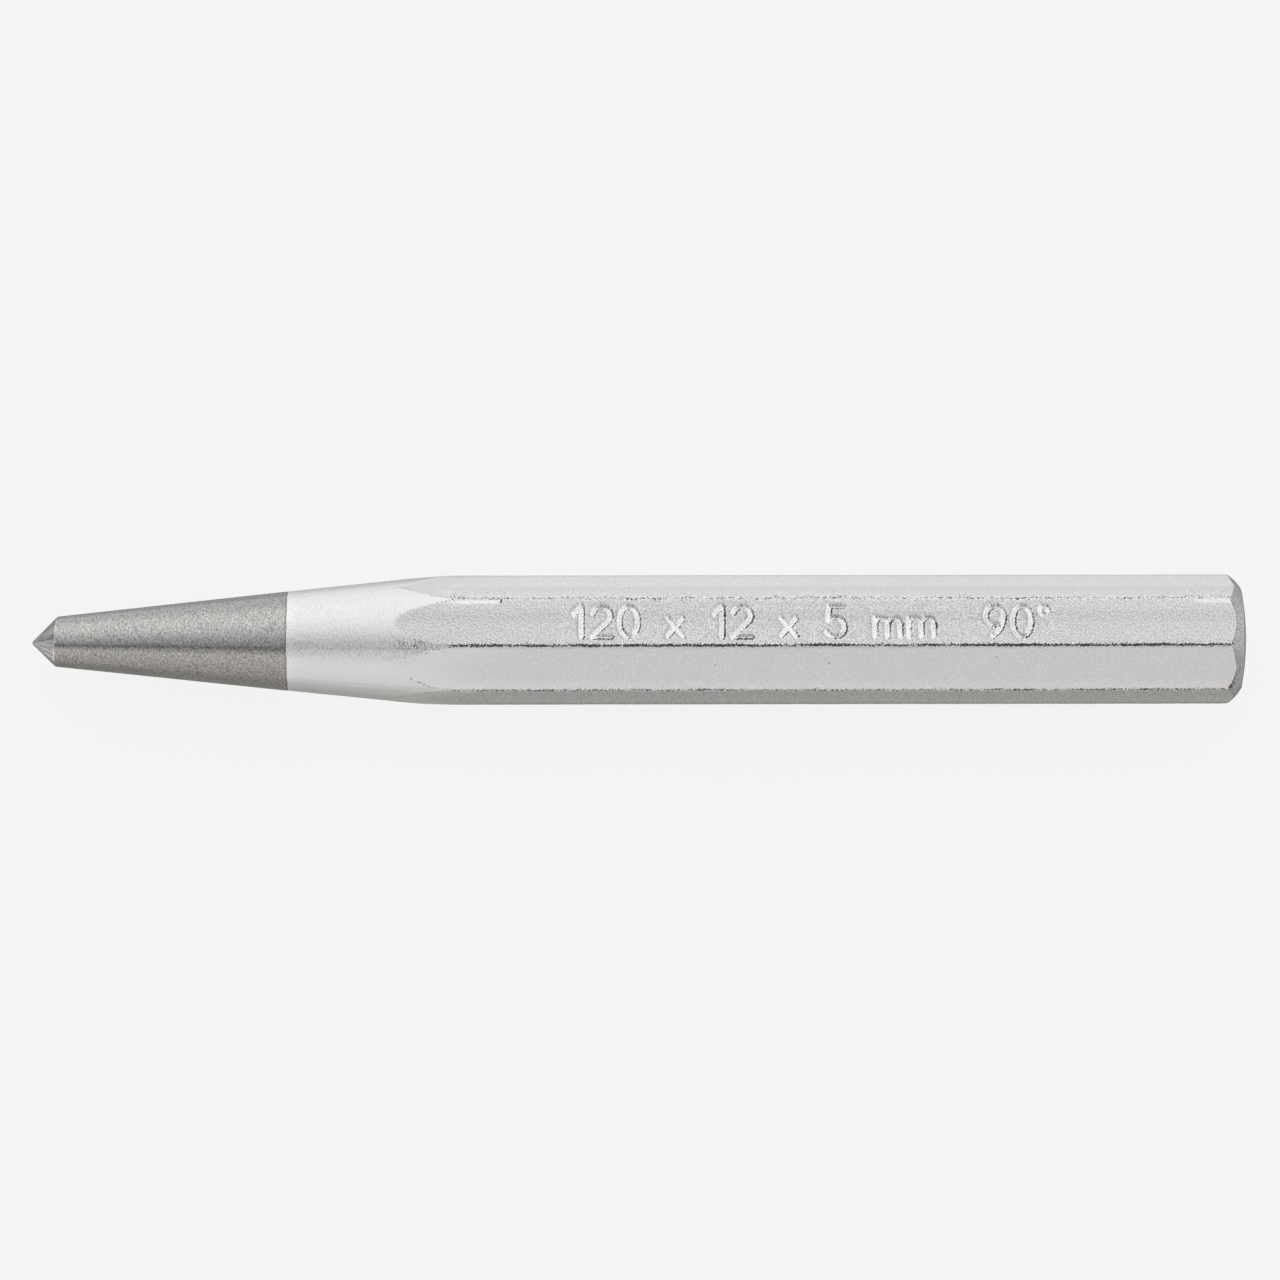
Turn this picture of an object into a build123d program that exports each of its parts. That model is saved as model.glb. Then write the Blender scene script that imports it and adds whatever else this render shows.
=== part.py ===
from build123d import *

import math
import os

# A one-piece centre punch for marking metal. It is forged from octagonal bar,
# turned to a taper and a 90 degree point, and struck on its crowned head.
# It lies along X on one of its flats, point towards -X, head towards +X.
# Millimetres throughout; the origin is under the middle of its length.

# Bar
overall_length = 120.0
across_flats = 12.0
flat_count = 8
corner_radius = 0.9

# Point end
point_angle = 90.0
point_diameter = 5.0
taper_half_angle = 5.9
taper_blend_radius = 88.0

# Head end
head_face_diameter = 10.0
head_chamfer_angle = 45.0
head_chamfer_bulge_radius = 4.3
crown_height = 0.47

# Plating: bright layer on the shank, ground off the tip and the head
plating_thickness = 0.05
bare_tip_length = 25.3

# Places along X, and the radii that go with them
axis_height = across_flats / 2
apex_x = -overall_length / 2
crown_x = overall_length / 2
grind_line_x = apex_x + bare_tip_length
steel_across_flats = across_flats - 2 * plating_thickness
half_corner_angle = math.radians(180 / flat_count)
steel_corner_radius = steel_across_flats / 2 / math.cos(half_corner_angle)


def turned_blank(growth):
    """The solid that turning leaves, about the X axis, before the flats are cut.

    growth is how far the long surface stands outside the bare steel. The point and
    the head are ground last, so they are the same whatever the growth.
    """
    point_slope = math.tan(math.radians(point_angle / 2))
    taper_slope = math.tan(math.radians(taper_half_angle))
    shank_radius = steel_corner_radius + growth

    # The taper's line, its start on the point cone and its end on the shank's line
    shoulder_x = apex_x + point_diameter / 2 / point_slope
    start_shift = growth / (point_slope - taper_slope)
    start_x = shoulder_x + start_shift
    start_radius = (start_x - apex_x) * point_slope
    taper_end_x = start_x + (shank_radius - start_radius) / taper_slope

    # The arc that blends the taper into the shank, tangent to both
    tangent_length = taper_blend_radius * math.tan(math.radians(taper_half_angle / 2))
    turn = math.radians(taper_half_angle)
    blend_start = (
        taper_end_x - tangent_length * math.cos(turn),
        shank_radius - tangent_length * math.sin(turn),
    )
    blend_end = (taper_end_x + tangent_length, shank_radius)

    # The head: a slightly bulging chamfer, whose chord on the bare steel slopes at the
    # chamfer angle, down to the crowned face
    face_x = crown_x - crown_height
    face_radius = head_face_diameter / 2
    chamfer_turn = math.radians(head_chamfer_angle)
    chord = (steel_corner_radius - face_radius) / math.sin(chamfer_turn)
    half_sweep = math.asin(chord / 2 / head_chamfer_bulge_radius)
    steepest = chamfer_turn + half_sweep
    centre_x = face_x - head_chamfer_bulge_radius * math.sin(steepest)
    centre_radius = face_radius - head_chamfer_bulge_radius * math.cos(steepest)
    rise = shank_radius - centre_radius
    chamfer_x = centre_x + math.sqrt(head_chamfer_bulge_radius**2 - rise**2)
    crown_radius = (face_radius**2 + crown_height**2) / (2 * crown_height)

    outline = [
        Line((apex_x, 0), (start_x, start_radius)),
        Line((start_x, start_radius), blend_start),
        RadiusArc(blend_start, blend_end, taper_blend_radius),
        Line(blend_end, (chamfer_x, shank_radius)),
        RadiusArc((chamfer_x, shank_radius), (face_x, face_radius), head_chamfer_bulge_radius),
        RadiusArc((face_x, face_radius), (crown_x, 0), crown_radius),
        Line((crown_x, 0), (apex_x, 0)),
    ]
    return revolve(make_face(outline), Axis.X)


def octagonal_bar(width, edge_radius, start_x):
    """Bar of the given width across flats, from start_x to the head, a flat on top."""
    octagon = RegularPolygon(
        width / 2, flat_count, major_radius=False, rotation=180 / flat_count
    )
    section = fillet(octagon.vertices(), edge_radius)
    return extrude(Plane.YZ.offset(start_x) * section, crown_x - start_x)


def make_forged_body():
    """The steel itself, from the point to the crowned head."""
    bar = octagonal_bar(steel_across_flats, corner_radius - plating_thickness, apex_x)
    return bar & turned_blank(0)


def make_shank_plating(forged_body):
    """The bright layer over the steel, from the grind line to the head's chamfer."""
    bar = octagonal_bar(across_flats, corner_radius, grind_line_x)
    return bar & turned_blank(plating_thickness) - forged_body


forged_body = make_forged_body()
shank_plating = make_shank_plating(forged_body)

os.makedirs("parts", exist_ok=True)
for name, piece in {
    "forged_body": forged_body,
    "shank_plating": shank_plating,
}.items():
    export_step(Pos(0, 0, axis_height) * piece, f"parts/{name}.step")
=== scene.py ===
import math

import bpy
import numpy as np
from mathutils import Euler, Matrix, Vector


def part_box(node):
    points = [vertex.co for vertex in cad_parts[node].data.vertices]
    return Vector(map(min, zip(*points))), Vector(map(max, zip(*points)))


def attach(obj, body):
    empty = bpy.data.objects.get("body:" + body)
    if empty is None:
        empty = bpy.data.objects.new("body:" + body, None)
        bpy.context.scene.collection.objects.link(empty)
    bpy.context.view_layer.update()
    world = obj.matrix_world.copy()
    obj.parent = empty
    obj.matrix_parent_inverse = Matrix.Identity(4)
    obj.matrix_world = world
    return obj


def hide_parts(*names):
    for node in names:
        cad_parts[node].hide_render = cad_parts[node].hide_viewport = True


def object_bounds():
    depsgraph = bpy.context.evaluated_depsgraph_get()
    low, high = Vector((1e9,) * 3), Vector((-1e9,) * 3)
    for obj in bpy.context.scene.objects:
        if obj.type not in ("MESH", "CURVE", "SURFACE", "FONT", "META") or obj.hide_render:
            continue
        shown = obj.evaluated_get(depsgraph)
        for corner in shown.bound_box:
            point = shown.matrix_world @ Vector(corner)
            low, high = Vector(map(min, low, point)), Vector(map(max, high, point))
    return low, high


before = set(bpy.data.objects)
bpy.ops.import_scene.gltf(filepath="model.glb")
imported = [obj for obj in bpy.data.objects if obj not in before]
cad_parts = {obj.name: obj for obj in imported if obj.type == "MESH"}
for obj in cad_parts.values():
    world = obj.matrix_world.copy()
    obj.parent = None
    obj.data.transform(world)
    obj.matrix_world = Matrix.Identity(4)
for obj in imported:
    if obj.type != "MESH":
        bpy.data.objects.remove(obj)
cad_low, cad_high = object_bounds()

# A one-piece center punch that lies along X, point towards -X, a flat on top.
# Lengths are in millimetres, and stations along the punch are measured from the apex of
# the point, until a mesh is made; Blender's objects are in metres.
MM = 0.001

# ---------------------------------------------------------------- the frame
steel_low, steel_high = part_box("forged_body")
plating_low, plating_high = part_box("shank_plating")
apex_x = steel_low.x
axis_y = (plating_low.y + plating_high.y) / 2
axis_z = (plating_low.z + plating_high.z) / 2
length = (steel_high.x - steel_low.x) / MM
half_flats = (plating_high.z - plating_low.z) / 2 / MM
grind_line = (plating_low.x - apex_x) / MM

# ---------------------------------------------------------------- turned and ground shape
flat_count = 8
flat_angle = 2 * math.pi / flat_count
corner_sharpness = 60           # exponent that rounds the bar's corners to about 0.9 mm
point_radius = 2.5
point_length = 2.5
apex_flat = 0.1                 # radius of the tiny flat worn on the point
shoulder_round = 0.12
taper_slope = math.tan(math.radians(5.9))
blend_radius = 88.0
chamfer_angle = math.radians(45)
chamfer_bulge_radius = 4.3
head_face_radius = 5.0
crown_height = 0.47
runout_blend = 0.03             # softens the edge where the taper runs out into the flats
plating_step = 0.05             # the plating stands this far above the steel under it
tip_swell = 0.07                # the bare tip almost reaches the plating's level at the grind line
hidden_depth = 0.35             # how far under the surface the two pieces meet out of sight
flat_width = 2 * half_flats * math.tan(flat_angle / 2)
sharp_corner_radius = half_flats / math.cos(flat_angle / 2)
steel_corner_radius = sharp_corner_radius - plating_step

# The turned part and the ground point are not quite true to the bar: each one's axis
# lies a little towards this side, in millimetres. The angle is from the top, so the side
# is almost straight in front.
low_side = math.radians(85)
taper_drift = 0.092
blend_drift = 0.048
point_drift = 0.221
blend_station = 36.0            # where the drift has shrunk to blend_drift
drift_fades = (38.0, 42.0)      # it is gone between these stations
shank_station = 46.0            # past the curved end of every flat

# ---------------------------------------------------------------- stamped size mark
mark_text = "120 x 12 x 5 mm  90°"
mark_centre = 77.0
mark_height = 3.15
mark_gap = 0.27                 # between characters, in character heights
groove_depth = 0.16
groove_gentle_side = 0.42       # the stamp leaned, so each groove has a gentle side
groove_steep_side = 0.16        # towards the point and the back, and a steep one opposite
burr_height = 0.032
mark_sinks = 0.034              # the flat lies this much lower around the characters
mark_start, mark_end = 52.0, 102.0
mark_half_height = 1.95
sink_starts = (51.0, 53.5)      # the flat sinks gradually between these stations
sink_ends = (100.5, 103.0)      # and rises again between these
stamp_lean = (0.8, 0.6)         # how far the stamp leaned along the bar and across it

# ---------------------------------------------------------------- forging step
# A shallow slope beside the back corner of the top flat, near each end of the shank
step_rise = (39.5, 43.0)        # it deepens gradually between these stations
step_stop = 46.5                # and stops short here
step_near_head = (114.0, 115.0)
step_width = 0.62
step_slope = 0.15

# ---------------------------------------------------------------- unevenness
# Heights from the lowest place to the highest
wave_height = 0.012
ripple_height = 0.004
knock_depth = 0.016             # small knocks along the shank's corners
ring_height = 0.005             # left by the grinding of the tip
facet_height = 0.008
hammer_height = 0.014           # on the roughly dressed chamfer
undercut_depth = 0.03           # the grinding bit in beside the plating
undercut_width = 0.14
lip_drop = 0.03                 # the plating's rounded lip at the head

# ---------------------------------------------------------------- dark specks, grain and painted streaks
# The dark specks along each corner, from the one in front of the marked flat round past
# the front to the one behind it: how crowded they are, how far they spread before the
# corner and after it, and how far their line wanders.
corner_specks = np.array([
    (1.11, 0.40, 0.20, 0.10),
    (0.68, 0.28, 0.60, 0.20),
    (0.40, 0.30, 0.30, 0.10),
    (0.50, 0.30, 0.30, 0.10),
    (0.50, 0.30, 0.30, 0.10),
    (0.40, 0.30, 0.30, 0.10),
    (0.40, 0.30, 0.30, 0.10),
    (0.52, 0.70, 0.28, 0.45),
])
specks_before_corner = 0.045

# Specks also follow the taper's edge where it nears a corner, from these stations on
taper_specks_start = 38.4
front_taper_specks_start = 36.4
taper_specks_rise = 2.6
taper_specks_width = 0.18

# How coarse the grain of each flat is, from the marked one round past the front
flat_grain = np.array([0.97, 0.35, 2.0, 0.6, 0.6, 0.6, 0.6, 0.35])
settling_length = 9.0           # the other flats take on their grain over this distance

# Painted shade in dark streaks: along the front of the taper, and at the cusp where the taper
# narrows between the marked flat and the next. Angles are in radians from the top.
dark_band_angle, dark_band_spread = 0.41, 0.16
cusp_station, cusp_reach = 37.9, 2.6
cusp_angle, cusp_spread = flat_angle / 2 - 0.02, 0.12


def lattice_noise(along, around, cells_around, seed):
    """Smooth noise from 0 to 1 that repeats every cells_around in its second direction."""
    rows = 512
    lattice = np.random.default_rng(seed).random((rows, cells_around))
    row, column = np.floor(along).astype(int), np.floor(around).astype(int)
    a, b = along - row, around - column
    a, b = a * a * (3 - 2 * a), b * b * (3 - 2 * b)

    def corner(down, across):
        return lattice[(row + down) % rows, (column + across) % cells_around]

    near = corner(0, 0) * (1 - b) + corner(0, 1) * b
    far = corner(1, 0) * (1 - b) + corner(1, 1) * b
    return near * (1 - a) + far * a


def smooth_step(low, high, value):
    """0 below low, 1 above high, and a smooth rise between them."""
    t = np.clip((value - low) / (high - low), 0, 1)
    return t * t * (3 - 2 * t)


# ---------------------------------------------------------------- section and outline
def angles_around():
    """The angles of the mesh's columns, from the top flat round past the front.

    They are dense at the corners and across the stamped mark.
    """
    plain_columns, marked_columns = 3, 42
    corner_steps = np.array([0.08, 0.17, 0.28, 0.46])
    half = flat_width / 2
    near_corner = half - corner_steps
    plain = np.linspace(-near_corner[-1], near_corner[-1], plain_columns)
    marked = np.linspace(-near_corner[-1], near_corner[-1], marked_columns)
    angles = []
    for index in range(flat_count):
        across = marked if index == 0 else plain
        places = np.concatenate([[-half], -near_corner[:-1], across, near_corner[:-1][::-1]])
        angles.append(index * flat_angle + np.arctan(places / half_flats))
    return np.concatenate(angles)


def octagon_radius(angle):
    """Distance from the axis to the rounded octagon at each angle."""
    total = np.zeros_like(angle)
    for index in range(flat_count):
        facing = np.clip(np.cos(angle - index * flat_angle), 0, 1)
        total = total + facing ** corner_sharpness
    return half_flats * total ** (-1 / corner_sharpness)


def turned_radius(station):
    """Radius of the turned steel: a taper that an arc blends into the shank."""
    taper = point_radius + (station - point_length) * taper_slope
    shank = steel_corner_radius
    meeting = point_length + (shank - point_radius) / taper_slope
    tangent = blend_radius * math.tan(math.atan(taper_slope) / 2)
    arc_start = meeting - tangent * math.cos(math.atan(taper_slope))
    arc_end = meeting + tangent
    on_arc = np.clip(station, arc_start, arc_end)
    arc = shank - blend_radius + np.sqrt(blend_radius ** 2 - (arc_end - on_arc) ** 2)
    return np.where(station < arc_start, taper, arc)


def drift(station):
    """How far the turned part's axis lies off the bar's: most at the tip, none on the shank."""
    along = np.clip((station - point_length) / (blend_station - point_length), 0, 1)
    on_taper = taper_drift + (blend_drift - taper_drift) * along
    return on_taper * (1 - smooth_step(*drift_fades, station))


theta = angles_around()
turns = theta / (2 * math.pi)
lean = np.cos(theta - low_side)
bar = octagon_radius(theta)

# Where the taper runs out into each flat
outline_stations = np.linspace(grind_line, shank_station, 2000)
outline_radius = turned_radius(outline_stations) + plating_step
scallop_line = np.array([
    np.interp(reach, outline_radius + drift(outline_stations) * share, outline_stations)
    for reach, share in zip(bar, lean)
])

# The circle that the head's bulging chamfer follows, from the crowned face outwards
face_station = length - crown_height
chord = (steel_corner_radius - head_face_radius) / math.sin(chamfer_angle)
steepest = chamfer_angle + math.asin(chord / 2 / chamfer_bulge_radius)
bulge_station = face_station - chamfer_bulge_radius * math.sin(steepest)
bulge_height = head_face_radius - chamfer_bulge_radius * math.cos(steepest)
head_line = bulge_station + np.sqrt(chamfer_bulge_radius ** 2 - (bar - bulge_height) ** 2)

# The edge of the plating at the grind line, which wanders slowly and is finely ragged
grind_wander = lattice_noise(np.full_like(turns, 3.5), turns * 24, 24, 11) - 0.5
grind_ragged = lattice_noise(np.full_like(turns, 5.5), turns * 90, 90, 12) - 0.5
grind_edge = grind_line + 0.10 * grind_wander + 0.07 * grind_ragged


# ---------------------------------------------------------------- the stamped characters
def arc(centre, radii, start, end, steps=12):
    """Points along part of an ellipse, from one angle to another in degrees."""
    turn = np.radians(np.linspace(start, end, steps))
    return [(centre[0] + radii[0] * math.cos(t), centre[1] + radii[1] * math.sin(t)) for t in turn]


# Each character: its width, then its strokes, in character heights
characters = {
    " ": (0.40, []),
    "0": (0.58, [arc((0.29, 0.5), (0.29, 0.5), 90, 450, 20)]),
    "1": (0.34, [[(0.04, 0.74), (0.28, 1.0), (0.28, 0.0)]]),
    "2": (0.58, [arc((0.29, 0.70), (0.28, 0.30), 165, -38) + [(0.0, 0.0), (0.58, 0.0)]]),
    "5": (0.58, [[(0.53, 1.0), (0.09, 1.0), (0.05, 0.54)]
                 + arc((0.27, 0.32), (0.30, 0.32), 128, -150)]),
    "9": (0.58, [arc((0.29, 0.69), (0.28, 0.31), 0, 360, 20),
                 arc((0.07, 0.69), (0.50, 0.69), 0, -72)]),
    "m": (0.78, [[(0.0, 0.0), (0.0, 0.62)],
                 arc((0.195, 0.42), (0.195, 0.20), 180, 0) + [(0.39, 0.0)],
                 arc((0.585, 0.42), (0.195, 0.20), 180, 0) + [(0.78, 0.0)]]),
    "x": (0.46, [[(0.0, 0.04), (0.46, 0.60)], [(0.0, 0.60), (0.46, 0.04)]]),
    "°": (0.26, [arc((0.13, 0.86), (0.13, 0.14), 90, 450)]),
}


def mark_strokes():
    """Every straight run of the mark's strokes: ends along the bar and across the flat."""
    width = sum(characters[c][0] for c in mark_text) + mark_gap * (len(mark_text) - 1)
    pen = mark_centre - width * mark_height / 2
    runs = []
    for character in mark_text:
        wide, strokes = characters[character]
        for stroke in strokes:
            for (x0, y0), (x1, y1) in zip(stroke, stroke[1:]):
                start = (pen + x0 * mark_height, (0.5 - y0) * mark_height)
                end = (pen + x1 * mark_height, (0.5 - y1) * mark_height)
                runs.append((start, end))
        pen += (wide + mark_gap) * mark_height
    return runs


def share_of_groove(along, across):
    """How far each place is from the middle of the nearest stroke to its groove's edge.

    Two more numbers say on which side of the groove it lies: 1 on its gentle side and -1 on
    its steep side, and 1 on the side away from the front and -1 on the front's.
    """
    nearest = np.full(along.shape, 99.0)
    side = np.zeros(along.shape)
    behind = np.zeros(along.shape)
    middle = (groove_gentle_side + groove_steep_side) / 2
    lopsided = (groove_gentle_side - groove_steep_side) / 2
    for (x0, y0), (x1, y1) in mark_strokes():
        dx, dy = x1 - x0, y1 - y0
        share = ((along - x0) * dx + (across - y0) * dy) / (dx * dx + dy * dy)
        share = np.clip(share, 0, 1)
        off_x, off_y = along - x0 - share * dx, across - y0 - share * dy
        away = np.maximum(np.hypot(off_x, off_y), 1e-6)
        gentle = -(stamp_lean[0] * off_x + stamp_lean[1] * off_y) / away
        reach = away / (middle + lopsided * gentle)
        closer = reach < nearest
        side = np.where(closer, gentle, side)
        behind = np.where(closer, -off_y / away, behind)
        nearest = np.minimum(nearest, reach)
    return nearest, side, behind


# ---------------------------------------------------------------- surface of the plated shank
def past_corner(angle):
    """Distance around the bar from each angle back to its nearest corner: below 0 before it."""
    from_flat = (angle + flat_angle / 2) % flat_angle - flat_angle / 2
    to_corner = half_flats * (math.tan(flat_angle / 2) - np.tan(np.abs(from_flat)))
    return np.where(from_flat > 0, -to_corner, to_corner)


def surface_relief(station, angle):
    """How far the plated surface stands out from its ideal shape.

    Three shares for the material come with it: painted highlight in the mark and on the forging
    step, where the surface is also smoother; painted shade on the grooves' steep sides and
    where the step ends; and grey painted shade round the characters and on the grooves' far walls.
    """
    cells = 48
    around = angle / (2 * math.pi) * cells
    wave = lattice_noise(station / 4, around / 3, cells // 3, 21) - 1
    ripple = lattice_noise(station / 1.6, around, cells, 22) - 1
    relief = wave_height * wave + ripple_height * ripple

    # Small knocks along the corners
    knocks = lattice_noise(station / 0.45, around, cells, 23)
    at_corner = 1 - smooth_step(0.05, 0.35, np.abs(past_corner(angle)))
    relief = relief - knock_depth * at_corner * smooth_step(0.45, 1.0, knocks)

    # The stamped mark on the top flat
    on_top = np.cos(angle) > math.cos(flat_angle / 2)
    across = np.where(on_top, half_flats * np.tan(np.where(on_top, angle, 0)), 9)
    groove_share, gentle, behind = share_of_groove(station, across)
    pressure = 0.75 + 0.5 * lattice_noise(station / 2.3, across / 1.4 + 4, 16, 24)
    groove = (1 - smooth_step(0, 1, groove_share)) * pressure
    burr = np.exp(-((groove_share - 1.12) / 0.25) ** 2) * pressure
    dished = 1 - smooth_step(mark_half_height - 0.45, mark_half_height + 0.3, np.abs(across))
    dished = dished * smooth_step(*sink_starts, station) * (1 - smooth_step(*sink_ends, station))
    relief = relief - groove_depth * groove + burr_height * burr - mark_sinks * dished

    # A shallow forging step beside the far corner of the top flat, at each end of the shank
    from_corner = np.clip(flat_width / 2 + across, 0, 9)
    step_end = step_stop - 0.5 * from_corner ** 1.5
    before_end = 1 - smooth_step(-0.07, 0.07, station - step_end)
    after_start = smooth_step(*step_rise, station)
    slope_depth = step_slope * np.clip(step_width - from_corner, 0, 1) * on_top
    step = np.maximum(before_end * after_start, 0.8 * smooth_step(*step_near_head, station))
    relief = relief - slope_depth * step
    # Painted highlight in the grooves, less on their far walls, and on the forging step
    on_step = 1 - smooth_step(0.45, 0.65, from_corner)
    far_wall = smooth_step(0.75, 0.95, behind)
    in_groove = (1 - smooth_step(0.75, 1.25, groove_share)) * (1 - 0.75 * far_wall)
    painted_highlight_and_polish = np.maximum(in_groove, 0.6 * step * on_step)

    # Painted shade on the steep side of each groove and where the step ends
    steep_wall_shade = 1.07 * np.exp(-((groove_share - 0.75) / 0.55) ** 2)
    steep_wall_shade = steep_wall_shade * smooth_step(0.0, 0.5, -gentle)
    step_end_shade = 1.5 * np.exp(-((station - step_end - 0.07) / 0.09) ** 2) * on_step
    patches = 0.6 + 0.8 * lattice_noise(station / 1.1, across / 1.1 + 4, 16, 26)
    painted_recess_shade = np.maximum(steep_wall_shade * patches * pressure, step_end_shade)
    # Grey painted shade outside each stroke's gentle side and on each groove's far wall
    outside = np.exp(-((groove_share - 1.4) / 0.35) ** 2) * smooth_step(-0.2, 0.8, gentle)
    far_wall_shade = 1.5 * np.exp(-((groove_share - 0.5) / 0.45) ** 2) * far_wall
    painted_mark_shade = np.maximum(0.7 * outside, far_wall_shade) * patches
    return relief, painted_highlight_and_polish, painted_recess_shade * on_top, painted_mark_shade * on_top


# ---------------------------------------------------------------- meshes from rows of stations
def rows_between(start, end, shares):
    """One row of stations for each share of the way from start to end.

    start and end are each a number or a curve round the bar.
    """
    start, end = np.broadcast_to(start, theta.shape), np.broadcast_to(end, theta.shape)
    return [start + (end - start) * share for share in shares]


def even(count):
    """Evenly spaced shares from 0 to 1."""
    return np.linspace(0, 1, count)


def grid_mesh(name, stations, radii, shifts, caps, sharp_rows, masks):
    """A closed mesh from rows of points round the axis.

    shifts moves each point towards the low side. caps says whether the two ends close to
    points; if they do not, the last row joins the first.
    """
    rows, columns = stations.shape
    x = apex_x + stations * MM
    y = axis_y - (radii * np.sin(theta) + shifts * math.sin(low_side)) * MM
    z = axis_z + (radii * np.cos(theta) + shifts * math.cos(low_side)) * MM
    points = np.stack([x, y, z], axis=-1).reshape(-1, 3)
    row = np.arange(rows if not caps else rows - 1)[:, None]
    column = np.arange(columns)[None, :]
    after, beside = (row + 1) % rows, (column + 1) % columns
    corners = [row * columns + column, row * columns + beside,
               after * columns + beside, after * columns + column]
    faces = np.stack(corners, axis=-1).reshape(-1, 4).tolist()
    if caps:
        apex_y = axis_y - point_drift * math.sin(low_side) * MM
        apex_z = axis_z + point_drift * math.cos(low_side) * MM
        ends = [[steel_low.x, apex_y, apex_z], [steel_high.x, axis_y, axis_z]]
        points = np.concatenate([points, ends])
        tip, crown = rows * columns, rows * columns + 1
        last = (rows - 1) * columns
        faces += [[tip, (i + 1) % columns, i] for i in range(columns)]
        faces += [[crown, last + i, last + (i + 1) % columns] for i in range(columns)]
    mesh = bpy.data.meshes.new(name)
    mesh.from_pydata(points.tolist(), [], faces)
    mesh.polygons.foreach_set("use_smooth", np.ones(len(mesh.polygons), bool))

    ends = np.empty(len(mesh.edges) * 2, int)
    mesh.edges.foreach_get("vertices", ends)
    edge_rows = ends.reshape(-1, 2) // columns
    sharp = (edge_rows[:, 0] == edge_rows[:, 1]) & np.isin(edge_rows[:, 0], sharp_rows)
    crease = mesh.attributes.new("sharp_edge", "BOOLEAN", "EDGE")
    crease.data.foreach_set("value", sharp)
    for mask, values in masks.items():
        flat = np.zeros(len(mesh.vertices), np.float32)
        flat[: rows * columns] = np.broadcast_to(values, stations.shape).reshape(-1)
        mesh.attributes.new(mask, "FLOAT", "POINT").data.foreach_set("value", flat)
    mesh.update()
    piece = bpy.data.objects.new(name, mesh)
    bpy.context.scene.collection.objects.link(piece)
    return piece


def corner_speck_crowding(station, angle):
    """How much the dark specks crowd each place, which is most at the corners."""
    corner = np.floor(angle / flat_angle).astype(int) % flat_count
    strength, spread_before, spread_after, freedom = np.moveaxis(corner_specks[corner], -1, 0)
    wander = lattice_noise(station / 0.9, corner + 0.5, flat_count, 27) - 0.5
    past = past_corner(angle) + specks_before_corner + wander * freedom
    spread = np.where(past < 0, spread_before, spread_after)
    specks_and_painted_shade = strength * (1 - smooth_step(0, 1, np.abs(past) / spread))
    patches = lattice_noise(station / 1.7, corner + 0.5, flat_count, 25)
    return specks_and_painted_shade * (0.72 + 0.5 * patches)


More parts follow.
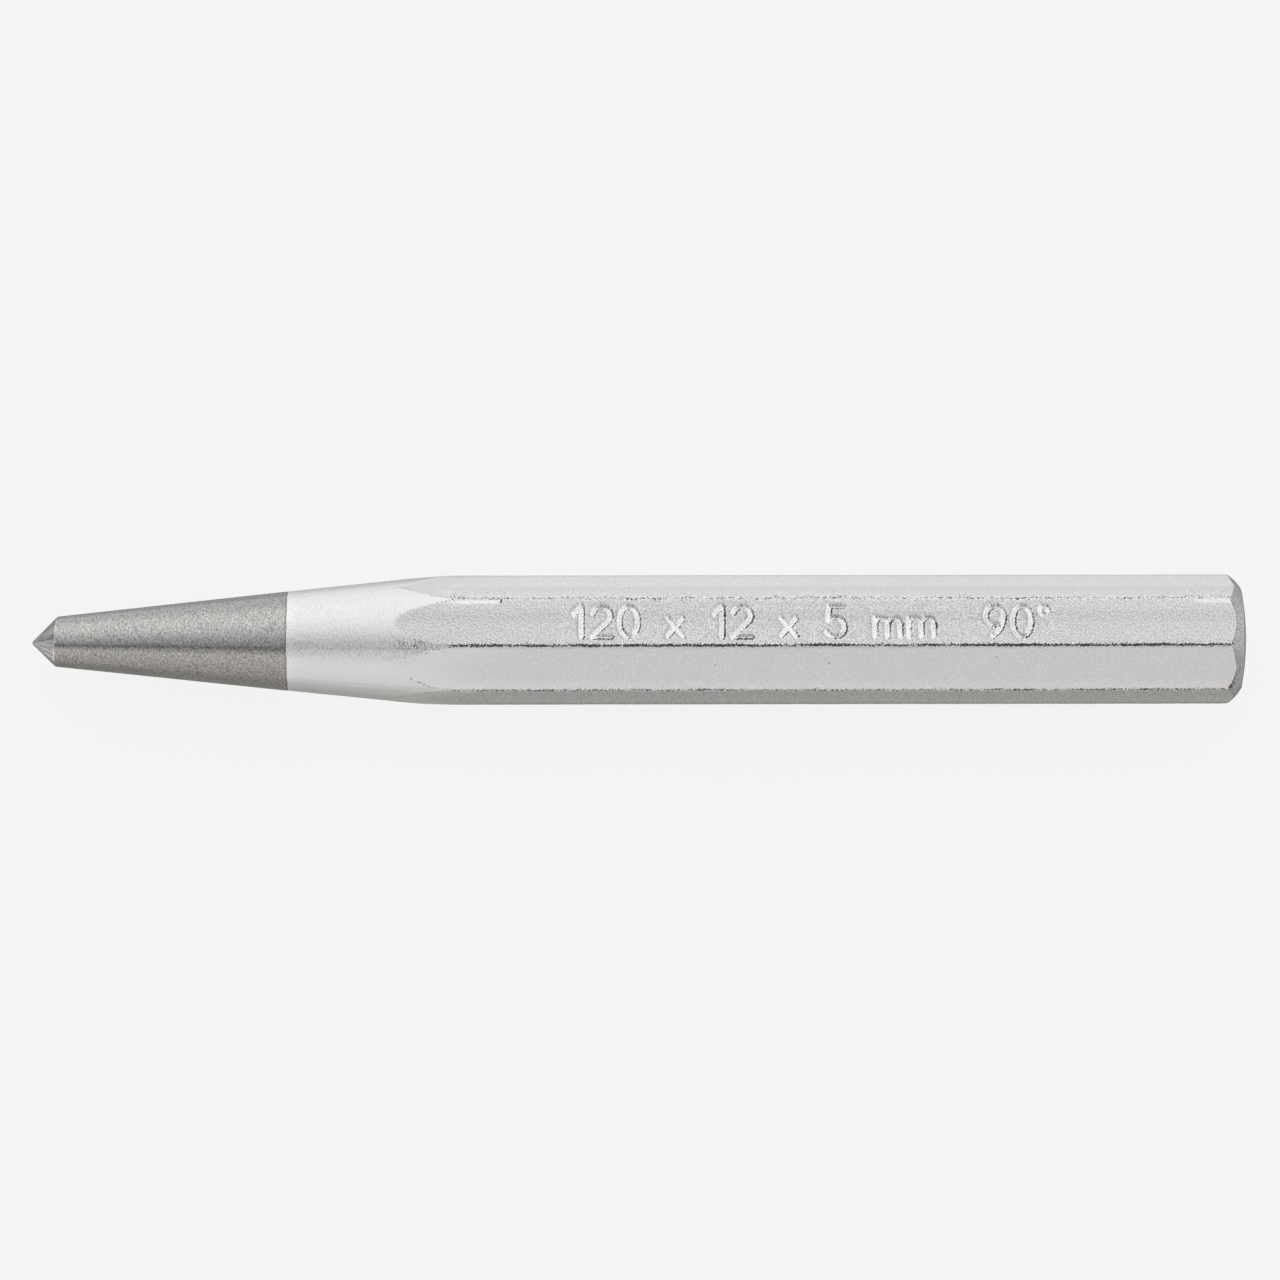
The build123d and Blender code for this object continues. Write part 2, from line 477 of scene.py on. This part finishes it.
def make_plating():
    """The plated layer: its outer surface from the grind line to the head, then back inside."""
    rim = 0.05                  # length of the rounded edge at the grind line
    lip = 0.10                  # and of the one at the head

    # Rows are close together where the shape changes, and along the stamped mark
    outer = rows_between(grind_edge + rim, scallop_line, 1 - (1 - even(46)) ** 1.5)
    before_stop, after_stop = step_stop - 1.3, step_stop + 0.5
    outer += rows_between(scallop_line, before_stop, even(24)[1:] ** 1.6)
    outer += rows_between(before_stop, after_stop, even(20)[1:])
    outer += rows_between(after_stop, mark_start, even(10)[1:])
    outer += rows_between(mark_start, mark_end, even(640)[1:])
    outer += rows_between(mark_end, head_line - lip, even(26)[1:])
    outer += rows_between(head_line - lip, head_line, [0.4, 0.7, 0.9])
    stations = np.array(outer)
    angle = np.broadcast_to(theta, stations.shape)
    turned = turned_radius(stations) + plating_step + drift(stations) * lean
    runout = np.clip(1 - np.abs(turned - bar) / runout_blend, 0, 1)
    radii = np.minimum(turned, bar) - runout_blend / 4 * runout ** 2
    on_taper = 1 - smooth_step(-0.2, 0.6, stations - scallop_line)
    relief, painted_highlight_and_polish, painted_recess_shade, painted_mark_shade = surface_relief(stations, angle)
    edge_round = np.clip(1 - (head_line - stations) / lip, 0, 1) ** 2
    radii = np.minimum(radii + relief - lip_drop * edge_round, bar)

    # How coarse the grain of each flat is, and how dull: the marked one has its grain all
    # along, and the others only gradually away from the taper
    from_scallop = stations - scallop_line
    flat_index = np.floor(theta / flat_angle + 0.5).astype(int) % flat_count
    settling = smooth_step(0, settling_length, from_scallop)
    settled = np.where(flat_index == 0, 1, settling)
    matt = settled * (1 - on_taper)
    brushed = flat_grain[flat_index] * matt

    # The flat behind the marked one is duller where it starts
    dulled = (flat_index == flat_count - 1) * (1 - settling) * (1 - on_taper)

    # Specks at the corners, and along the taper's edge where it nears them
    corner_index = np.floor(theta / flat_angle).astype(int)
    start = np.where(corner_index == 1, front_taper_specks_start, taper_specks_start)
    ragged = 0.4 * (lattice_noise(stations / 0.5, turns * 160, 160, 28) - 0.5)
    beside_taper = np.exp(-((from_scallop + ragged) / taper_specks_width) ** 2)
    beside_taper = beside_taper * smooth_step(start, start + taper_specks_rise, scallop_line)
    specks_and_painted_shade = corner_speck_crowding(stations, angle) * smooth_step(-0.4, 0.5, from_scallop)
    specks_and_painted_shade = np.maximum(specks_and_painted_shade, 0.74 * beside_taper)

    # Painted shade in dark streaks along the front of the taper, most where it narrows between the
    # marked flat and the next; the grey painted shade round the characters joins it
    along_front = np.exp(-((angle - dark_band_angle) / dark_band_spread) ** 2) * on_taper
    cusp = np.exp(-((stations - cusp_station) / cusp_reach) ** 2)
    cusp = cusp * np.exp(-((angle - cusp_angle) / cusp_spread) ** 2)
    painted_dark_streaks = np.maximum(np.maximum(0.42 * along_front, 0.9 * cusp), painted_mark_shade)
    # The painted shade in the mark, at the step's end and at the cusp is drawn as dark specks too
    specks_and_painted_shade = np.maximum(np.maximum(specks_and_painted_shade, painted_recess_shade), 0.36 * cusp)

    # Back to the grind line, out of sight, and up its edge
    hidden_bar = bar - hidden_depth
    inner = rows_between(head_line + plating_step, grind_edge, even(8))
    inner_radii = [np.minimum(turned_radius(row) - hidden_depth, hidden_bar) for row in inner]
    back = np.array([head_line + plating_step] + inner)
    back_radii = np.array([bar - plating_step] + inner_radii)
    front = np.array([grind_edge, grind_edge, grind_edge + rim * 0.3])
    edge_radius = turned_radius(grind_edge) + drift(grind_edge) * lean
    front_radii = np.array([
        edge_radius - 0.5 * plating_step,
        edge_radius + 0.4 * plating_step,
        edge_radius + 0.9 * plating_step,
    ])
    rest = len(back) + len(front)
    all_stations = np.concatenate([stations, back, front])
    all_radii = np.concatenate([radii, back_radii, front_radii])
    outside = len(stations)

    def padded(values):
        return np.concatenate([values, np.zeros((rest, len(theta)))])

    masks = {
        "turned": padded(on_taper),
        "brushed": padded(brushed),
        "matt": padded(matt),
        "dulled": padded(dulled),
        "painted_highlight_and_polish": padded(painted_highlight_and_polish),
        "specks_and_painted_shade": padded(specks_and_painted_shade),
        "painted_dark_streaks": padded(painted_dark_streaks),
        "from_grind": all_stations - grind_edge,
    }
    sharp_rows = [outside, outside + 1, outside + len(back)]
    no_shift = np.zeros_like(all_radii)
    return grid_mesh("plated_shank", all_stations, all_radii, no_shift, False, sharp_rows, masks)


def make_steel():
    """The bare steel: point, ground tip, a hidden core under the plating, and the head."""
    point_axis = taper_drift - point_drift
    shoulder_line = point_length - (apex_flat - point_axis * lean) / (1 - taper_slope)
    first_row = 0.012
    cone = rows_between(first_row, shoulder_line - shoulder_round, even(46) ** 1.2)
    past_shoulder = shoulder_line + shoulder_round
    shoulder = rows_between(shoulder_line - shoulder_round, past_shoulder, even(7)[1:])
    tip = rows_between(past_shoulder, grind_edge, even(130)[1:])
    core = rows_between(grind_edge, head_line + plating_step, even(8))
    chamfer = rows_between(head_line + plating_step, face_station, even(20))
    crown_shares = np.sin(even(22)[1:-1] * math.pi / 2)

    tip_rows = np.array(cone + shoulder + tip)
    tip_shift = point_drift * (1 - np.clip(tip_rows / shoulder_line, 0, 1) ** 2)
    cone_radii = tip_rows + apex_flat + (point_drift - tip_shift) * lean
    swell = tip_swell * np.clip((tip_rows - point_length) / (grind_line - point_length), 0, 1)
    taper = point_radius + (tip_rows - point_length) * taper_slope
    taper_radii = taper + swell + (drift(tip_rows) - tip_shift) * lean
    close = np.clip(1 - np.abs(cone_radii - taper_radii) / shoulder_round, 0, 1)
    tip_radii = np.minimum(cone_radii, taper_radii) - shoulder_round / 4 * close ** 2
    undercut = np.exp(-((grind_edge - tip_rows) / undercut_width) ** 2)
    tip_radii = tip_radii - undercut_depth * undercut

    core_rows = np.array(core)
    core_radii = np.minimum(turned_radius(core_rows), bar) - hidden_depth
    chamfer_rows = np.array(chamfer)
    chamfer_drop = (chamfer_rows - bulge_station) ** 2
    chamfer_radii = bulge_height + np.sqrt(chamfer_bulge_radius ** 2 - chamfer_drop)
    crown_radius = (head_face_radius ** 2 + crown_height ** 2) / (2 * crown_height)
    crown_radii = np.outer(head_face_radius * (1 - crown_shares), np.ones(len(theta)))
    crown_drop = crown_radius - np.sqrt(crown_radius ** 2 - crown_radii ** 2)
    crown_rows = length - crown_drop

    stations = np.concatenate([tip_rows, core_rows, chamfer_rows, crown_rows])
    radii = np.concatenate([tip_radii, core_radii, chamfer_radii, crown_radii])
    shifts = np.zeros(stations.shape)
    shifts[:len(tip_rows)] = tip_shift
    first_chamfer = len(tip_rows) + len(core_rows)
    first_crown = first_chamfer + len(chamfer_rows) - 1
    row = np.arange(len(stations))[:, None] * np.ones(len(theta))
    on_head = (row >= first_chamfer).astype(float)
    on_chamfer = on_head * (row <= first_crown)

    # Grinding leaves the tip very slightly uneven, and the chamfer is roughly dressed
    turn = np.broadcast_to(turns, stations.shape)
    rings = lattice_noise(stations / 0.55, turn * 16, 16, 31) - 1
    facets = lattice_noise(stations / 6, turn * 12, 12, 32) - 1
    uneven = ring_height * rings + facet_height * facets
    ground = uneven * (1 - on_head) * smooth_step(0.3, 1.2, stations)
    hammered = lattice_noise(stations / 0.7, turn * 40, 40, 33) - 0.5
    hammered = hammered * on_chamfer * smooth_step(0, 0.3, length - stations)
    radii = radii + ground + hammer_height * hammered

    masks = {
        "point": 1 - smooth_step(-0.1, 0.1, stations - shoulder_line),
        "head": on_head,
        "crown": on_head - on_chamfer,
        "from_grind": grind_edge - stations,
    }
    sharp_rows = [len(tip_rows) - 1, first_chamfer, first_crown]
    return grid_mesh("ground_steel_body", stations, radii, shifts, True, sharp_rows, masks)


# ---------------------------------------------------------------- materials
class Graph:
    """Adds nodes to a material's or world's tree, linking each to what feeds it."""

    def __init__(self, owner):
        owner.use_nodes = True
        self.tree = owner.node_tree
        self.tree.nodes.clear()

    def node(self, kind, *feeds, **settings):
        made = self.tree.nodes.new(kind)
        for name, value in settings.items():
            setattr(made, name, value)
        for socket, feed in zip(made.inputs, feeds):
            self.feed(socket, feed)
        return made

    def feed(self, socket, value):
        if isinstance(value, bpy.types.NodeSocket):
            self.tree.links.new(value, socket)
        elif value is not None:
            socket.default_value = value

    def math(self, operation, *values):
        return self.node("ShaderNodeMath", *values, operation=operation).outputs[0]

    def vector(self, operation, *values):
        return self.node("ShaderNodeVectorMath", *values, operation=operation).outputs[0]

    def attribute(self, name):
        return self.node("ShaderNodeAttribute", attribute_name=name).outputs["Fac"]

    def noise(self, place, scale, detail=2.0, roughness=0.5, stretch=(1, 1, 1)):
        """Noise from 0 to 1. scale is in features per millimetre of the object."""
        stretched = self.vector("MULTIPLY", place, stretch)
        made = self.node("ShaderNodeTexNoise")
        self.feed(made.inputs["Vector"], stretched)
        made.inputs["Scale"].default_value = scale
        made.inputs["Detail"].default_value = detail
        made.inputs["Roughness"].default_value = roughness
        return made.outputs["Fac"]

    def step(self, value, low, high, to_low=0.0, to_high=1.0):
        """Smooth change from to_low to to_high as value goes from low to high."""
        made = self.node("ShaderNodeMapRange", value, low, high, to_low, to_high)
        made.interpolation_type = "SMOOTHSTEP"
        return made.outputs[0]

    def blend(self, share, first, second):
        """The first colour, the second, or a mix of the two."""
        made = self.node("ShaderNodeMix", data_type="RGBA")
        self.feed(made.inputs["Factor"], share)
        self.feed(made.inputs["A"], first)
        self.feed(made.inputs["B"], second)
        return made.outputs["Result"]

    def ramp(self, share, stops):
        """A colour for each share from 0 to 1, between stops of a share and a colour each."""
        made = self.node("ShaderNodeValToRGB", share)
        elements = made.color_ramp.elements
        elements[0].position, elements[0].color = stops[0]
        elements[1].position, elements[1].color = stops[-1]
        for position, colour in stops[1:-1]:
            elements.new(position).color = colour
        return made.outputs[0]

    def pinholes(self, place, spacing, radius):
        """1 inside small round holes, about one to each cube with sides of the spacing."""
        made = self.node("ShaderNodeTexVoronoi")
        self.feed(made.inputs["Vector"], place)
        made.inputs["Scale"].default_value = 1 / spacing
        edge = radius / spacing
        return self.step(made.outputs["Distance"], 0.6 * edge, edge, 1.0, 0.0)

    def metal(self, colour, roughness, height):
        """The surface itself, with its fine relief as bump. Height is in millimetres."""
        bump = self.node("ShaderNodeBump")
        bump.inputs["Distance"].default_value = MM
        self.feed(bump.inputs["Height"], height)
        shader = self.node("ShaderNodeBsdfPrincipled")
        shader.inputs["Metallic"].default_value = 1.0
        self.feed(shader.inputs["Base Color"], colour)
        self.feed(shader.inputs["Roughness"], roughness)
        self.feed(shader.inputs["Normal"], bump.outputs[0])
        output = self.node("ShaderNodeOutputMaterial")
        self.tree.links.new(shader.outputs[0], output.inputs[0])


def millimetres(graph):
    """The place on the object, in millimetres."""
    place = graph.node("ShaderNodeTexCoord").outputs["Object"]
    return graph.vector("MULTIPLY", place, (1 / MM,) * 3)


def grey(value, warmth=0.0, green=0.0):
    """A grey that may be a little warmer or greener than neutral."""
    return (value * (1 + warmth), value * (1 + green), value * (1 - warmth), 1.0)


def by_turn(graph, place, tones):
    """A grey that depends on the angle around the bar, in degrees from the top flat."""
    from_axis = graph.vector("SUBTRACT", place, (0, axis_y / MM, axis_z / MM))
    depth, up = graph.node("ShaderNodeSeparateXYZ", from_axis).outputs[1:]
    angle = graph.math("ARCTAN2", graph.math("MULTIPLY", depth, -1.0), up)
    share = graph.math("MULTIPLY_ADD", angle, 0.5 / math.pi, 0.5)
    return graph.ramp(share, [(degrees / 360 + 0.5, grey(tone)) for degrees, tone in tones])


def surface_place(station, angle, radius):
    """A place on the punch in millimetres, from where it is along and around the bar."""
    turn = math.radians(angle)
    return (apex_x / MM + station, axis_y / MM - radius * math.sin(turn),
            axis_z / MM + radius * math.cos(turn))


def spots(graph, place, centres, ragged):
    """1 inside any of the round spots, each a place and a radius, with ragged edges."""
    total = None
    for centre, radius in centres:
        apart = graph.node("ShaderNodeVectorMath", place, centre, operation="DISTANCE")
        away = apart.outputs["Value"]
        away = graph.math("MULTIPLY_ADD", ragged, radius * 1.6, away)
        inside = graph.step(away, radius * 1.5, radius * 1.9, 1.0, 0.0)
        total = inside if total is None else graph.math("MAXIMUM", total, inside)
    return total


black = grey(0.0)
rust_colour = (0.11, 0.075, 0.05, 1.0)

# Small rust spots at the edge of the head: a place on the surface and a radius for each
rust_spots = [
    (surface_place(118.68, 56.2, 6.05), 0.19),
    (surface_place(118.60, 58.1, 6.08), 0.11),
    (surface_place(118.47, 59.8, 6.13), 0.16),
    (surface_place(118.42, 61.6, 6.18), 0.10),
    (surface_place(118.26, 62.9, 6.24), 0.17),
    (surface_place(118.22, 64.9, 6.31), 0.26),
    (surface_place(118.60, 63.4, 6.05), 0.12),
    (surface_place(118.36, 20.5, 6.35), 0.14),
]

# Painted light and shade on the flats, by the angle around the bar: lighter and darker bands run
# along them
flat_painted_light = [
    (-180, 1.0), (-62, 1.06), (-47, 1.06), (-41, 0.96), (-32, 0.99), (-26, 1.0), (-18, 1.04),
    (-13, 1.03), (-9, 0.96), (-3, 0.96), (3, 1.02), (16, 1.03), (24, 1.0), (40, 1.0), (56, 1.0),
    (61, 1.05), (65, 1.08), (67.5, 1.0), (70, 1.06), (90, 1.15), (102, 1.21), (107, 1.0),
    (112, 0.9), (115, 1.0), (180, 1.0),
]

# How much painted shade darkens the ground tip, by the angle around it: none along its top,
# and most in a thin line in front of that
tip_painted_shade = [
    (-180, 0.20), (-60, 0.26), (-40, 0.25), (-28, 0.15), (-18, 0.05), (-6, 0.0), (2, 0.0),
    (12, 0.06), (22, 0.11), (24, 0.15), (27.5, 0.43), (29.5, 0.36), (33, 0.31), (35.5, 0.12),
    (42, 0.13), (55, 0.24), (75, 0.30), (100, 0.36), (120, 0.28), (180, 0.20),
]

# The same painted shade for the head's chamfer, darkest low in front
head_painted_shade = [
    (-180, 0.0), (-60, 0.05), (-30, 0.14), (-8, 0.0), (10, 0.0), (24, 0.08), (36, 0.30),
    (60, 0.36), (80, 0.24), (110, 0.0), (180, 0.0),
]


def plated_metal():
    material = bpy.data.materials.new("satin_nickel_chrome")
    graph = Graph(material)
    place = millimetres(graph)
    turned = graph.attribute("turned")
    matt = graph.attribute("matt")
    specks_and_painted_shade = graph.attribute("specks_and_painted_shade")
    brushed = graph.attribute("brushed")
    painted_highlight_and_polish = graph.attribute("painted_highlight_and_polish")
    painted_dark_streaks = graph.attribute("painted_dark_streaks")
    slanting = graph.node("ShaderNodeMapping", place, None, (0, 0, math.radians(-45))).outputs[0]

    # Patterns: the slanting grain of the flats, turning marks, dark specks and the painted glints
    # between them, pinholes, a painted highlight along the plating's edge at the grind line, and
    # rust
    grain = graph.noise(slanting, 7.0, 1.6, 0.6, stretch=(0.8, 1.15, 1.0))
    cloud = graph.noise(place, 0.35, 3.0, 0.5)
    lathe = graph.noise(place, 2.6, 1.5, 0.6, stretch=(3.8, 0.85, 0.85))
    specks = graph.noise(place, 6.5, 2.0, 0.65)
    contrast = graph.math("MULTIPLY_ADD", specks, 2.6, -0.80)
    dark = graph.step(graph.math("MULTIPLY_ADD", specks_and_painted_shade, 0.80, contrast), 0.95, 1.15)
    dark = graph.math("MULTIPLY", dark, graph.step(specks_and_painted_shade, 0.0, 0.15))
    painted_glint = graph.step(graph.noise(place, 6.0, 1.0, 0.5), 0.46, 0.54)
    painted_glint = graph.math("MULTIPLY", painted_glint, graph.step(specks_and_painted_shade, 0.05, 0.35))
    holes = graph.math("MULTIPLY", graph.pinholes(place, 2.6, 0.10), matt)
    edge = graph.step(graph.attribute("from_grind"), 0.1, 1.3, 1.0, 0.0)
    rust = spots(graph, place, rust_spots, specks)

    # Colour, from the widest effect to the smallest
    colour = graph.blend(cloud, grey(0.86, 0.005), grey(0.90, 0.0))
    duller = graph.math("MULTIPLY", graph.step(grain, 0.34, 0.66, 0.0, 0.85), brushed)
    duller = graph.math("MULTIPLY_ADD", matt, 0.06, duller)
    duller = graph.math("MULTIPLY_ADD", graph.attribute("dulled"), 0.36, duller)
    colour = graph.blend(duller, colour, grey(0.52, 0.01))
    # Painted light and shade in bands along the flats, by the angle around the bar
    painted_bands = graph.vector("MULTIPLY", colour, by_turn(graph, place, flat_painted_light))
    colour = graph.blend(matt, colour, painted_bands)
    # Painted highlight in the mark's grooves and on the forging step
    colour = graph.blend(painted_highlight_and_polish, colour, grey(1.0))
    # Painted highlight along the plating's edge at the grind line
    colour = graph.blend(graph.math("MULTIPLY", edge, 0.8), colour, grey(0.95))
    # Painted glints beside the dark specks
    colour = graph.blend(painted_glint, colour, grey(0.97))
    pepper = graph.math("MULTIPLY", graph.math("ADD", lathe, specks), 0.5)
    # Painted shade in dark streaks on the front of the taper, at the cusp and round the characters
    painted_streaks = graph.math("MULTIPLY", graph.step(pepper, 0.47, 0.56, 0.0, 1.0), painted_dark_streaks)
    colour = graph.blend(graph.math("MULTIPLY", painted_streaks, 0.75), colour, grey(0.28, 0.01))
    colour = graph.blend(graph.math("MULTIPLY", holes, 0.7), colour, grey(0.12, 0.04))
    # Dark specks, which also carry the painted shade of the mark, the step's end and the cusp
    colour = graph.blend(graph.math("MULTIPLY", dark, 0.95), colour, grey(0.045, 0.05))
    colour = graph.blend(graph.math("MULTIPLY", rust, 0.9), colour, rust_colour)

    roughness = graph.math("MULTIPLY_ADD", grain, 0.10, 0.26)
    roughness = graph.math("MULTIPLY_ADD", dark, 0.15, roughness)
    roughness = graph.math("MULTIPLY_ADD", painted_highlight_and_polish, -0.12, roughness)

    # Relief in millimetres: grain on the flats, turning marks on the taper, and pits
    grain_depth = graph.math("MULTIPLY_ADD", brushed, 0.09, 0.010)
    grain_height = graph.math("MULTIPLY", grain, grain_depth)
    lathe_height = graph.math("MULTIPLY", graph.math("MULTIPLY", lathe, turned), 0.07)
    height = graph.math("ADD", grain_height, lathe_height)
    height = graph.math("MULTIPLY_ADD", graph.math("MAXIMUM", dark, holes), -0.03, height)
    graph.metal(colour, roughness, height)
    return material


def ground_metal():
    material = bpy.data.materials.new("ground_tool_steel")
    graph = Graph(material)
    place = millimetres(graph)
    head = graph.attribute("head")
    crown = graph.attribute("crown")
    tip = graph.math("SUBTRACT", 1.0, head)
    point = graph.attribute("point")

    # Fine rays run down the point from its apex
    apex = surface_place(0, math.degrees(low_side), point_drift)
    from_apex = graph.vector("SUBTRACT", place, apex)
    outward = graph.vector("NORMALIZE", graph.vector("MULTIPLY", from_apex, (0, 1, 1)))
    along = graph.vector("MULTIPLY", from_apex, (0.09, 0, 0))
    rays = graph.noise(graph.vector("ADD", outward, along), 7.0, 3.0, 0.7)

    # Coarse grinding: light and dark speckle, a few pits, and a faint cloudiness
    speckle = graph.noise(place, 4.6, 1.6, 0.6, stretch=(2.0, 0.9, 0.9))
    pits = graph.step(graph.noise(place, 5.0, 1.0, 0.5), 0.69, 0.77)
    grain = graph.noise(place, 4.0, 1.5, 0.6, stretch=(2.2, 0.8, 0.8))
    cloud = graph.noise(place, 0.5, 2.0, 0.5)
    colour = graph.blend(graph.step(speckle, 0.25, 0.75), grey(0.255, 0.03), grey(0.75, 0.028))
    colour = graph.blend(graph.math("MULTIPLY", cloud, 0.3), colour, grey(0.45, 0.01))
    ray_colour = graph.blend(graph.step(rays, 0.38, 0.62), grey(0.26, 0.035), grey(0.80, 0.03))
    colour = graph.blend(graph.math("MULTIPLY", point, 0.75), colour, ray_colour)

    # A painted highlight in a broken bright line round the point's shoulder, and a dark line
    # beside the plating
    rim = graph.math("MULTIPLY", point, graph.math("SUBTRACT", 1.0, point))
    rim = graph.math("MULTIPLY", rim, 3.2)
    rim = graph.math("MULTIPLY", rim, graph.step(grain, 0.40, 0.55))
    # Painted highlight round the shoulder
    colour = graph.blend(rim, colour, grey(1.0))
    edge = graph.step(graph.attribute("from_grind"), 0.0, 0.22, 0.45, 0.0)
    colour = graph.blend(graph.math("MULTIPLY", edge, tip), colour, grey(0.18, 0.02))

    # The head is lighter than the tip, with faint turning rings on its crown
    colour = graph.blend(graph.math("MULTIPLY", head, 0.2), colour, grey(0.66, 0.02))
    rings = graph.noise(place, 2.2, 2.0, 0.6, stretch=(11.0, 0.2, 0.2))
    ringed = graph.step(rings, 0.35, 0.65)
    ring_colour = graph.blend(ringed, grey(0.36, 0.02), grey(0.58, 0.02))
    colour = graph.blend(graph.math("MULTIPLY", crown, 0.6), colour, ring_colour)
    colour = graph.blend(graph.math("MULTIPLY", pits, 0.5), colour, grey(0.14, 0.02))

    # Painted shade round some of its sides, though hardly on the point and not on the crown
    tip_shade = by_turn(graph, place, tip_painted_shade)
    shade = graph.blend(head, tip_shade, by_turn(graph, place, head_painted_shade))
    shade = graph.math("MULTIPLY", shade, graph.math("SUBTRACT", 1.0, crown))
    shade = graph.math("MULTIPLY", shade, graph.step(point, 0.0, 1.0, 1.0, 0.35))
    colour = graph.blend(shade, colour, black)
    rust = spots(graph, place, rust_spots, speckle)
    colour = graph.blend(graph.math("MULTIPLY", rust, 0.9), colour, rust_colour)

    roughness = graph.math("MULTIPLY_ADD", grain, 0.10, 0.08)
    roughness = graph.math("MULTIPLY_ADD", head, 0.12, roughness)

    # Relief in millimetres: the rays on the point, and the grinding everywhere else
    height = graph.math("MULTIPLY", grain, 0.016)
    height = graph.math("MULTIPLY_ADD", speckle, 0.008, height)
    ray_height = graph.math("MULTIPLY", rays, 0.05)
    height = graph.node("ShaderNodeMix", point, None, height, ray_height).outputs[0]
    graph.metal(colour, roughness, height)
    return material


# ---------------------------------------------------------------- studio
# The surroundings in the plane across the punch: the angle up from the front horizon, where
# 90 is overhead and 180 the back horizon, the brightness, and how warm and how green it is.
studio_tones = [
    (-180, 0.92), (-164, 0.97), (-150, 0.65), (-128, 0.44, 0.01), (-110, 0.227, 0.022, 0.035),
    (-90, 0.296, 0.03, 0.034), (-74, 0.372, 0.032, 0.02), (-57, 0.43, 0.025),
    (-44, 0.49, 0.02), (-30, 0.55, 0.02), (-14, 0.64, 0.018), (0, 0.70, 0.015),
    (15, 0.735, 0.014), (42, 0.73, 0.01), (46, 0.30, -0.015), (52, 0.33, -0.02),
    (62, 0.42, -0.02), (74, 0.55, -0.01), (86, 0.68, -0.005), (95, 0.78), (106, 0.88),
    (116, 0.95), (127, 1.0), (145, 1.01), (165, 0.98), (180, 0.92),
]
backdrop_tone = 0.905


def make_world():
    """Soft studio surroundings: a large softbox above and behind, and a lower one in front.

    The camera sees a plain pale backdrop instead.
    """
    world = bpy.data.worlds.new("studio")
    bpy.context.scene.world = world
    graph = Graph(world)
    direction = graph.node("ShaderNodeTexCoord").outputs["Generated"]
    parts = graph.node("ShaderNodeSeparateXYZ", direction)
    side, depth, up = parts.outputs
    angle = graph.math("ARCTAN2", up, graph.math("MULTIPLY", depth, -1.0))
    share = graph.math("MULTIPLY_ADD", angle, 0.5 / math.pi, 0.5)
    stops = [(degrees / 360 + 0.5, grey(*tone)) for degrees, *tone in studio_tones]
    across = graph.ramp(share, stops)
    across = graph.vector("MULTIPLY", across, graph.step(side, -0.25, 0.25, 1.07, 0.93))
    right = graph.step(side, 0.20, 0.80)
    left = graph.step(side, -0.35, -0.95)
    low_front = graph.step(graph.math("ADD", depth, up), 0.1, -0.7)
    left_tone = graph.blend(low_front, grey(0.50), grey(0.95))
    right_tone = graph.blend(graph.step(up, 0.35, 0.6), grey(0.80), grey(1.15))
    colour = graph.blend(right, across, right_tone)
    colour = graph.blend(left, colour, left_tone)

    seen = graph.node("ShaderNodeLightPath").outputs["Is Camera Ray"]
    lit = graph.node("ShaderNodeBackground", colour).outputs[0]
    pale = graph.node("ShaderNodeBackground", grey(backdrop_tone)).outputs[0]
    mixed = graph.node("ShaderNodeMixShader", seen, lit, pale).outputs[0]
    output = graph.node("ShaderNodeOutputWorld")
    graph.tree.links.new(mixed, output.inputs[0])


def make_floor():
    """A pale floor that hardly darkens under the punch."""
    half = 2.5
    gap = 0.00005
    height = cad_low.z - gap
    mesh = bpy.data.meshes.new("floor")
    corners = [(-half, -half), (half, -half), (half, half), (-half, half)]
    mesh.from_pydata([(x, y, height) for x, y in corners], [], [(0, 1, 2, 3)])
    floor = bpy.data.objects.new("floor", mesh)
    bpy.context.scene.collection.objects.link(floor)
    material = bpy.data.materials.new("pale_floor")
    graph = Graph(material)
    glow = graph.node("ShaderNodeEmission", grey(0.85)).outputs[0]
    matte = graph.node("ShaderNodeBsdfDiffuse", grey(0.08)).outputs[0]
    both = graph.node("ShaderNodeAddShader", glow, matte).outputs[0]
    output = graph.node("ShaderNodeOutputMaterial")
    graph.tree.links.new(both, output.inputs[0])
    mesh.materials.append(material)
    floor.visible_glossy = False


def make_camera():
    """Looks down at the punch from the front, far off, so that it fills the frame's width."""
    elevation = math.radians(73.0)
    distance = 0.75
    frame_width = 0.12665
    sideways = 0.00012
    roll = math.radians(-0.09)
    camera = bpy.data.objects.new("camera", bpy.data.cameras.new("camera"))
    bpy.context.scene.collection.objects.link(camera)
    camera.data.sensor_width = 36.0
    camera.data.lens = 36.0 * distance / frame_width
    centre = (cad_low + cad_high) / 2 + Vector((sideways, 0, 0))
    back = Vector((0, -math.cos(elevation), math.sin(elevation)))
    camera.location = centre + back * distance
    camera.rotation_euler = Euler((math.pi / 2 - elevation, 0, 0))
    camera.rotation_euler.rotate_axis("Z", roll)
    camera.data.clip_start, camera.data.clip_end = 0.01, 20.0
    bpy.context.scene.camera = camera


# ---------------------------------------------------------------- assembly
plating = make_plating()
plating.data.materials.append(plated_metal())
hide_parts("shank_plating")
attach(plating, "root")

steel = make_steel()
steel.data.materials.append(ground_metal())
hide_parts("forged_body")
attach(steel, "root")

make_world()
make_floor()
make_camera()
bpy.context.scene.view_settings.view_transform = "Standard"
